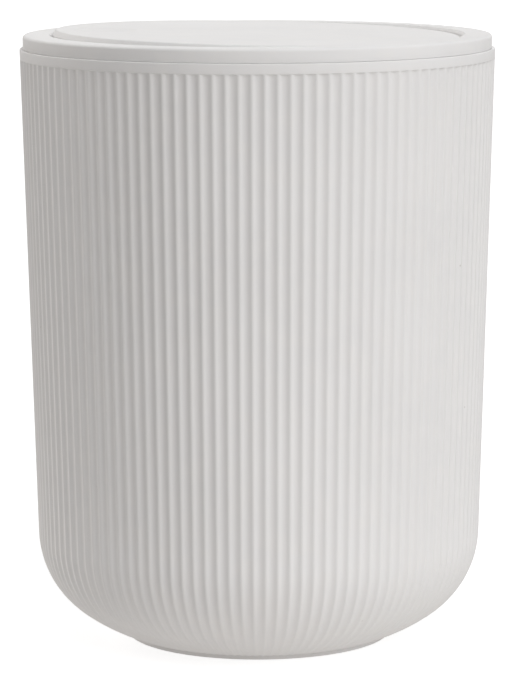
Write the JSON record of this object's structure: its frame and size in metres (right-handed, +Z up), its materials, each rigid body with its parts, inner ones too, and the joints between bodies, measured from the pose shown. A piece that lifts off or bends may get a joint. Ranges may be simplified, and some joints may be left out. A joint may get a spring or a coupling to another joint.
{
  "type": "wastebasket",
  "caption": "Round fluted wastebasket with a rounded base, a lift-off lid ring and a balanced disc flap with a thumb dish that swings in the ring.",
  "frame": {"origin": "centre of the foot, on the surface that the bin stands on", "axes": "+Z up; the flap's pivot axis lies along Y; the thumb dish is on the -X side"},
  "size_m": [0.2299, 0.23, 0.2976],
  "materials": {
    "tub_plastic": "fine matt spark-eroded texture",
    "lid_plastic": "fine matt spark-eroded texture",
    "flap_plastic": "fine matt spark-eroded texture",
    "base_plastic": "plain tool finish",
    "weight_steel": "dull zinc-grey coating",
    "pin_steel": "ground",
    "screw_steel": "zinc plated",
    "bearing_acetal": "smooth natural acetal"
  },
  "bodies": {
    "bin": {"bin_body": "tub_plastic"},
    "lid": {"lid_ring": "lid_plastic", "pivot_bush_front": "bearing_acetal", "pivot_bush_rear": "bearing_acetal", "pivot_clip_front": "bearing_acetal", "pivot_clip_rear": "bearing_acetal"},
    "flap": {"flap_cover": "flap_plastic", "flap_base": "base_plastic", "flap_counterweight": "weight_steel", "flap_screws": "screw_steel", "counterweight_screws": "screw_steel", "pivot_pin_front": "pin_steel", "pivot_pin_rear": "pin_steel"}
  },
  "joints": [
    {"name": "lid_lift", "type": "slide", "parent": "bin", "child": "lid", "axis": [0, 0, 1], "range_m": [0, 0.12]},
    {"name": "flap_swing", "type": "hinge", "parent": "lid", "child": "flap", "pos_m": [0, 0, 0.2875], "axis": [0, 1, 0], "continuous": true}
  ]
}
